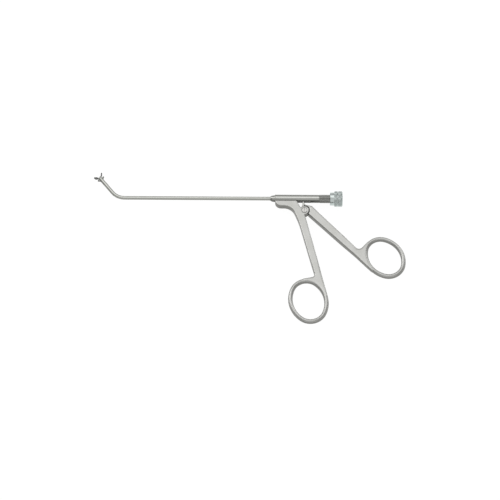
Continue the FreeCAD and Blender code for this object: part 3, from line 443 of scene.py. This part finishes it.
@dataclass
class SatinHandle:
    """A ring handle whose blasted edges are softly rounded.

    Sizes are in millimetres. The ring's middle is given inwards and upwards from the lower right
    corner of the handle's box, and the web from the ring's middle. The web between arm and ring
    is rounded most, and the ring more than the arm.
    """

    node: str
    ring_inset: tuple[float, float]
    web_offset: tuple[float, float]
    voxel: float = 0.2
    edge_rounds: int = 11
    ring_rounds: int = 14
    ring_reach: float = 24.0
    web_rounds: int = 45
    web_reach: float = 13.0
    smooth_degrees: float = 120.0

    def build(self) -> Any:
        """Make the handle.

        Returns:
            The handle's object.
        """
        mesh = merged_copy(self.node)
        mesh.transform(Matrix.Scale(1.0 / MM, 4))
        rough = link_object(self.node + "_blank", mesh)
        remesh = rough.modifiers.new("remesh", "REMESH")
        remesh.mode = "VOXEL"
        remesh.voxel_size = self.voxel
        evaluated = rough.evaluated_get(bpy.context.evaluated_depsgraph_get())
        fine = bpy.data.meshes.new_from_object(evaluated)
        bpy.data.objects.remove(rough)
        points, edges = self._arrays(fine)
        even = np.ones(len(points))
        points = self._relaxed(points, edges, even, self.edge_rounds)
        low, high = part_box(self.node)
        ring = (high.x / MM - self.ring_inset[0], low.y / MM + self.ring_inset[1])
        web = (ring[0] + self.web_offset[0], ring[1] + self.web_offset[1])
        points = self._relaxed(points, edges, self._nearness(points, ring, self.ring_reach), self.ring_rounds)
        points = self._relaxed(points, edges, self._nearness(points, web, self.web_reach), self.web_rounds)
        fine.vertices.foreach_set("co", (points * MM).astype(np.float32).ravel())
        fine.update()
        shade_by_angle(fine, self.smooth_degrees)
        return attach(link_object(self.node + "_satin", fine), self.node)

    @staticmethod
    def _arrays(mesh: Any) -> tuple[np.ndarray, np.ndarray]:
        """Points and edges of a mesh as arrays."""
        points = np.zeros(len(mesh.vertices) * 3)
        mesh.vertices.foreach_get("co", points)
        edges = np.zeros(len(mesh.edges) * 2, int)
        mesh.edges.foreach_get("vertices", edges)
        return points.reshape(-1, 3), edges.reshape(-1, 2)

    @staticmethod
    def _nearness(points: np.ndarray, middle: tuple[float, float], reach: float) -> np.ndarray:
        """How near every point is to an upright line, from 1 on it to 0 at its reach."""
        distance = np.hypot(points[:, 0] - middle[0], points[:, 1] - middle[1])
        near = np.clip(1.0 - distance / reach, 0.0, 1.0)
        return near * near * (3.0 - 2.0 * near)

    @staticmethod
    def _relaxed(points: np.ndarray, edges: np.ndarray, weights: np.ndarray, rounds: int) -> np.ndarray:
        """Move every point towards the middle of its neighbours.

        Args:
            points: the mesh's points.
            edges: pairs of point numbers.
            weights: how much each point may move, from 0 to 1.
            rounds: how many times.

        Returns:
            The moved points.
        """
        total = len(points)
        first, second = edges[:, 0], edges[:, 1]
        neighbours = np.bincount(edges.ravel(), minlength=total)[:, None]
        for _ in range(rounds):
            sums = np.stack([
                np.bincount(first, points[second, k], total) + np.bincount(second, points[first, k], total)
                for k in range(3)
            ], axis=1)
            points = points + (sums / neighbours - points) * weights[:, None] * RELAX_STEP
        return points


def closed_mesh(name: str, points: list[tuple], faces: list[tuple]) -> Any:
    """Make a mesh of a closed surface, with its faces turned outwards.

    Args:
        name: name of the mesh.
        points: its points.
        faces: its faces, as numbers of points.

    Returns:
        The mesh.
    """
    mesh = bpy.data.meshes.new(name)
    mesh.from_pydata(points, [], faces)
    work = bmesh.new()
    work.from_mesh(mesh)
    bmesh.ops.recalc_face_normals(work, faces=work.faces)
    work.to_mesh(mesh)
    work.free()
    return mesh


def turned_mesh(name: str, profile: list[tuple[float, float]], axis: Vector, segments: int = 96) -> Any:
    """Surface of revolution about a line along X.

    Args:
        name: name of the mesh.
        profile: closed outline of (x, radius) points in metres; x is a place in the row frame.
        axis: a point of the axis.
        segments: how many steps round the axis.

    Returns:
        The mesh.
    """
    count = len(profile)
    points = []
    for step in range(segments):
        angle = 2.0 * math.pi * step / segments
        for x, radius in profile:
            points.append((x, axis.y + radius * math.cos(angle), axis.z + radius * math.sin(angle)))
    faces = []
    for step in range(segments):
        here = step * count
        there = ((step + 1) % segments) * count
        for index in range(count):
            after = (index + 1) % count
            faces.append((here + index, here + after, there + after, there + index))
    return closed_mesh(name, points, faces)


def ring_of_ribs_tree() -> Any:
    """Geometry tree that repeats the rib it is given round a line along X.

    Returns:
        The tree, with the inputs Rib, Count, Axis and Finish.
    """
    tree = bpy.data.node_groups.new("ring_of_ribs", "GeometryNodeTree")
    tree.interface.new_socket("Rib", in_out="INPUT", socket_type="NodeSocketGeometry")
    tree.interface.new_socket("Count", in_out="INPUT", socket_type="NodeSocketInt")
    tree.interface.new_socket("Axis", in_out="INPUT", socket_type="NodeSocketVector")
    tree.interface.new_socket("Finish", in_out="INPUT", socket_type="NodeSocketMaterial")
    tree.interface.new_socket("Ribs", in_out="OUTPUT", socket_type="NodeSocketGeometry")
    given = add_node(tree, "NodeGroupInput").outputs
    index = add_node(tree, "GeometryNodeInputIndex")
    step = add_node(tree, "ShaderNodeMath", {0: 2.0 * math.pi, 1: given["Count"]}, operation="DIVIDE")
    turn = add_node(tree, "ShaderNodeMath", {0: index.outputs[0], 1: step.outputs[0]}, operation="MULTIPLY")
    rotation = add_node(tree, "ShaderNodeCombineXYZ", {"X": turn.outputs[0]})
    points = add_node(tree, "GeometryNodePoints", {"Count": given["Count"], "Position": given["Axis"]})
    ribs = add_node(tree, "GeometryNodeInstanceOnPoints", {
        "Points": points.outputs[0], "Instance": given["Rib"], "Rotation": rotation.outputs[0],
    })
    real = add_node(tree, "GeometryNodeRealizeInstances", {"Geometry": ribs.outputs[0]})
    dressed = add_node(tree, "GeometryNodeSetMaterial", {
        "Geometry": real.outputs[0], "Material": given["Finish"],
    })
    add_node(tree, "NodeGroupOutput", {"Ribs": dressed.outputs[0]})
    return tree


@dataclass
class RibRing:
    """Straight ribs of a knurl round a bar along X. Sizes are in metres."""

    name: str
    count: int
    start_x: float
    end_x: float
    root_radius: float
    top_radius: float
    end_taper: float
    foot_share: float = 0.96
    top_share: float = 0.3
    crest_drop: float = 0.12
    smooth_degrees: float = 40.0

    def build(self, axis: Vector, finish: Finish) -> Any:
        """Make all the ribs as one mesh.

        Args:
            axis: a point of the line that the ribs go round.
            finish: the finish of the ribs.

        Returns:
            The object, with no modifier left on it.
        """
        tree = bpy.data.node_groups.get("ring_of_ribs") or ring_of_ribs_tree()
        piece = link_object(self.name, self._rib())
        modifier = piece.modifiers.new("ribs", "NODES")
        modifier.node_group = tree
        values = {"Count": self.count, "Axis": (0.0, axis.y, axis.z), "Finish": finish.material()}
        for item in tree.interface.items_tree:
            if item.in_out == "INPUT" and item.name in values:
                modifier[item.identifier] = values[item.name]
        bpy.context.view_layer.update()
        evaluated = piece.evaluated_get(bpy.context.evaluated_depsgraph_get())
        mesh = bpy.data.meshes.new_from_object(evaluated)
        piece.modifiers.clear()
        piece.data = mesh
        shade_by_angle(mesh, self.smooth_degrees)
        return piece

    def _rib(self) -> Any:
        """One rib at the top of the bar, with a rounded crest and tapered ends.

        Returns:
            The rib's mesh, measured from the axis.
        """
        half_foot = math.pi / self.count * self.foot_share
        half_top = math.pi / self.count * self.top_share
        crest = self.top_radius - self.root_radius
        section = [
            (-half_foot, self.root_radius - crest),
            (-half_foot, self.root_radius),
            (-half_top, self.top_radius - self.crest_drop * crest),
            (0.0, self.top_radius),
            (half_top, self.top_radius - self.crest_drop * crest),
            (half_foot, self.root_radius),
            (half_foot, self.root_radius - crest),
        ]
        stations = [
            (self.start_x, 0.0), (self.start_x + self.end_taper, 1.0),
            (self.end_x - self.end_taper, 1.0), (self.end_x, 0.0),
        ]
        points = []
        for x, height in stations:
            for angle, radius in section:
                level = min(radius, self.root_radius) + max(radius - self.root_radius, 0.0) * height
                points.append((x, -level * math.sin(angle), level * math.cos(angle)))
        count = len(section)
        faces = [tuple(range(count)), tuple(reversed(range(len(points) - count, len(points))))]
        for row in range(len(stations) - 1):
            for index in range(count):
                after = (index + 1) % count
                faces.append((
                    row * count + index, (row + 1) * count + index,
                    (row + 1) * count + after, row * count + after,
                ))
        return closed_mesh(self.name, points, faces)


@dataclass
class PortCap:
    """The screw cap of the rinsing port: smooth collar, two knurled bands and a rounded end.

    Sizes are in millimetres. The length and the largest radius come from the CAD node.
    """

    collar_length: float = 3.0
    collar_radius: float = 4.5
    edge: float = 0.3
    edge_run: float = 0.1
    edge_fall: float = 0.08
    corner: float = 0.1
    groove_from_collar: float = 2.25
    groove_width: float = 0.35
    groove_depth: float = 0.3
    groove_corner: float = 0.05
    knurl_count: int = 40
    knurl_depth: float = 0.22
    knurl_taper: float = 0.2
    knurl_end_share: float = 0.55
    bore_radius: float = 3.85
    end_wall: float = 1.1
    end_round: float = 0.8
    round_steps: int = 6
    head_radius: float = 1.55
    head_depth: float = 0.44
    stem_radius: float = 1.05
    smooth_degrees: float = 30.0

    def build(self) -> list[Any]:
        """Make the cap.

        Returns:
            The core and the two knurled bands.
        """
        low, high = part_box("cap_ring")
        axis = (low + high) / 2.0
        rim = (high.z - low.z) / 2.0 / MM
        start = low.x / MM
        end = high.x / MM
        core = rim - self.knurl_depth
        collar_end = start + self.collar_length
        groove = collar_end + self.groove_from_collar
        profile = [
            (start, self.bore_radius), (start, self.collar_radius - self.edge),
            (start + self.edge_run, self.collar_radius - self.edge_fall),
            (start + self.edge, self.collar_radius), (collar_end, self.collar_radius),
            (collar_end, core - self.corner), (collar_end + self.corner, core),
            (groove - self.groove_corner, core), (groove, rim - self.groove_depth),
            (groove + self.groove_width, rim - self.groove_depth),
            (groove + self.groove_width + self.groove_corner, core),
        ]
        for step in range(self.round_steps + 1):
            angle = math.pi / 2.0 * step / self.round_steps
            profile.append((
                end - self.end_round * (1.0 - math.sin(angle)),
                core - self.end_round * (1.0 - math.cos(angle)),
            ))
        profile += [
            (end, self.head_radius), (end - self.head_depth, self.head_radius),
            (end - self.head_depth, self.stem_radius), (end - self.end_wall, self.stem_radius),
            (end - self.end_wall, self.bore_radius),
        ]
        mesh = turned_mesh("cap_core", [(x * MM, radius * MM) for x, radius in profile], axis)
        shade_by_angle(mesh, self.smooth_degrees)
        made = [attach(link_object("cap_core", mesh), "cap_ring")]
        bands = (
            ("cap_front_knurl", collar_end, groove),
            ("cap_rear_knurl", groove + self.groove_width, end - self.knurl_end_share * self.end_round),
        )
        for name, first, last in bands:
            ribs = RibRing(
                name, self.knurl_count, first * MM, last * MM, core * MM, rim * MM,
                end_taper=self.knurl_taper * MM,
            ).build(axis, CAP_NICKEL)
            made.append(attach(ribs, "cap_ring", replace=False))
        return made


@dataclass
class FlutedSleeve:
    """The dark sleeve between barrel and cap, whose flutes keep their sharp crests."""

    smooth_degrees: float = 12.0

    def build(self) -> list[Any]:
        """Make the sleeve.

        Returns:
            The smooth copy of the CAD node.
        """
        mesh = merged_copy("port_sleeve")
        shade_by_angle(mesh, self.smooth_degrees)
        return [attach(link_object("port_sleeve_fluted", mesh), "port_sleeve")]


@dataclass
class CarriedNodes:
    """CAD nodes that are seen as they are, each with the finish of its slot."""

    nodes: tuple[str, ...]

    def build(self) -> None:
        """Put the finish of its slot on every node."""
        for node in self.nodes:
            held = frame["nodes"][node]
            held.data.materials.clear()
            held.data.materials.append(FINISHES[slot_of(node)].material())
            log.info("%s keeps its CAD mesh", node)


@dataclass(frozen=True)
class Softbox:
    """A square lamp that points at the instrument. Lengths are in millimetres."""

    name: str
    spot: tuple[float, float, float]
    size: float
    watts: float


@dataclass
class Studio:
    """Floor, sky, lamps and the camera at the photograph's viewing angle.

    Lengths are in millimetres and angles in degrees. The look point is what the middle of the
    picture shows, and the width is what the picture spans there.
    """

    look: tuple[float, float, float] = (0.43, -1.38, 5.25)
    width: float = 340.0
    distance: float = 6000.0
    elevation: float = 63.0
    roll: float = 0.33
    sensor: float = 36.0
    panel_side: float = -0.12
    panel_rise: float = 71.0
    panel_edge: tuple[float, float] = (0.86, 0.975)
    wall_light: float = 0.38
    panel_light: float = 1.2
    near_wall_rise: float = 34.0
    near_wall_edge: tuple[float, float] = (0.55, 0.95)
    near_wall_light: float = 0.3
    floor_size: float = 8000.0
    floor_colour: str = "f0f0f0"
    floor_shadow: float = 0.14
    floor_glow: float = 0.94
    clip_near: float = 10.0
    clip_far: float = 20000.0
    key: Softbox = Softbox("key_softbox", (-700.0, 500.0, 700.0), 500.0, 1.6)
    fill: Softbox = Softbox("fill_softbox", (600.0, 700.0, 500.0), 400.0, 0.8)

    def build(self) -> None:
        """Make the whole studio."""
        self._floor()
        self._world()
        self._lamps()
        self._camera()
        bpy.context.scene.view_settings.view_transform = "Standard"
        log.info("studio built")

    def _floor(self) -> None:
        """Pale floor that keeps a soft shadow and is white elsewhere, also in reflections."""
        half = self.floor_size * MM / 2.0
        mesh = bpy.data.meshes.new("floor")
        corners = [(-half, -half, 0), (half, -half, 0), (half, half, 0), (-half, half, 0)]
        mesh.from_pydata(corners, [], [(0, 1, 2, 3)])
        floor = link_object("floor", mesh)
        material = bpy.data.materials.new("white_seamless_paper")
        material.use_nodes = True
        tree = material.node_tree
        tree.nodes.clear()
        matt = add_node(tree, "ShaderNodeBsdfDiffuse", {"Color": linear(self.floor_colour)})
        soft = add_node(tree, "ShaderNodeBsdfDiffuse", {"Color": (*[self.floor_shadow] * 3, 1.0)})
        glow = add_node(tree, "ShaderNodeEmission", {"Strength": self.floor_glow})
        seen = add_node(tree, "ShaderNodeAddShader", {0: soft.outputs[0], 1: glow.outputs[0]})
        path = add_node(tree, "ShaderNodeLightPath")
        direct = add_node(tree, "ShaderNodeMath", {
            0: path.outputs["Is Camera Ray"], 1: path.outputs["Is Glossy Ray"],
        }, operation="MAXIMUM")
        direct = add_node(tree, "ShaderNodeMath", {
            0: direct.outputs[0], 1: path.outputs["Is Transmission Ray"],
        }, operation="MAXIMUM")
        mix = add_node(tree, "ShaderNodeMixShader", {
            0: direct.outputs[0], 1: matt.outputs[0], 2: seen.outputs[0],
        })
        add_node(tree, "ShaderNodeOutputMaterial", {"Surface": mix.outputs[0]})
        mesh.materials.append(material)

    def _world(self) -> None:
        """Grey room with a bright ceiling panel, which the flat faces mirror, and a paler near wall."""
        world = bpy.data.worlds.new("grey_room")
        world.use_nodes = True
        tree = world.node_tree
        tree.nodes.clear()
        place = add_node(tree, "ShaderNodeTexCoord")
        patches = (
            (self.panel_side, self.panel_rise, self.panel_edge, self.wall_light, self.panel_light),
            (0.0, 180.0 - self.near_wall_rise, self.near_wall_edge, 0.0, self.near_wall_light),
        )
        lights = []
        for side, rise, edge, dark, bright in patches:
            angle = math.radians(rise)
            middle = Vector((side, math.cos(angle), math.sin(angle))).normalized()
            near = add_node(tree, "ShaderNodeVectorMath", {
                0: place.outputs["Generated"], 1: middle,
            }, operation="DOT_PRODUCT")
            lights.append(add_node(tree, "ShaderNodeMapRange", {
                "Value": near.outputs["Value"], "From Min": edge[0], "From Max": edge[1],
                "To Min": dark, "To Max": bright,
            }, interpolation_type="SMOOTHSTEP").outputs["Result"])
        strength = add_node(tree, "ShaderNodeMath", {0: lights[0], 1: lights[1]}, operation="ADD")
        sky = add_node(tree, "ShaderNodeBackground", {
            "Color": (1.0, 1.0, 1.0, 1.0), "Strength": strength.outputs[0],
        })
        add_node(tree, "ShaderNodeOutputWorld", {"Surface": sky.outputs[0]})
        bpy.context.scene.world = world

    def _lamps(self) -> None:
        """A large soft lamp above on the left, and a weaker one on the right."""
        target = Vector((self.look[0], self.look[1], 0.0))
        for box in (self.key, self.fill):
            lamp = bpy.data.lights.new(box.name, "AREA")
            lamp.shape = "SQUARE"
            lamp.size = box.size * MM
            lamp.energy = box.watts
            holder = bpy.data.objects.new(box.name, lamp)
            holder.location = Vector(box.spot) * MM
            holder.rotation_euler = (target - Vector(box.spot)).to_track_quat("-Z", "Y").to_euler()
            bpy.context.scene.collection.objects.link(holder)

    def _camera(self) -> None:
        """Camera in front of and above the instrument."""
        camera = bpy.data.cameras.new("camera")
        camera.sensor_width = self.sensor
        camera.lens = self.sensor * self.distance / self.width
        camera.clip_start = self.clip_near * MM
        camera.clip_end = self.clip_far * MM
        rise = math.radians(self.elevation)
        back = Vector((0.0, -math.cos(rise), math.sin(rise)))
        holder = bpy.data.objects.new("camera", camera)
        holder.location = (Vector(self.look) + back * self.distance) * MM
        turn = (-back).to_track_quat("-Z", "Y") @ Euler((0.0, 0.0, math.radians(self.roll))).to_quaternion()
        holder.rotation_euler = turn.to_euler()
        bpy.context.scene.collection.objects.link(holder)
        bpy.context.scene.camera = holder


def main() -> None:
    """Build every sub-assembly in order and then the studio."""
    logging.basicConfig(level=logging.INFO, format="%(name)s: %(message)s")
    SatinHandle("finger_handle", ring_inset=(13.6, 16.9), web_offset=(4.4, 18.3)).build()
    SatinHandle("thumb_handle", ring_inset=(14.5, 15.7), web_offset=(-17.4, 5.0)).build()
    PolishedPieces((
        "handle_pivot_screw", "barrel", "nose_cone", "jaw_pivot_pin",
        "upper_tail_pin", "lower_tail_pin", "upper_link", "lower_link",
        "link_pin", "tip_pusher", "slide_block", "port_fitting", "cap_plug",
    )).build()
    PolishedPieces(("shaft_tube", "tip_fork"), SHAFT_STEEL).build()
    PolishedPieces(("upper_jaw", "lower_jaw"), JAW_STEEL).build()
    FlutedSleeve().build()
    PortCap().build()
    CarriedNodes((
        "tip_ferrule", "wire_tip_end", "wire_bend", "wire_rear_end", "rod_ferrule", "drive_rod",
        "front_slide_seal", "rear_slide_seal", "cap_seal",
    )).build()
    Studio().build()


if __name__ == "__main__":
    main()
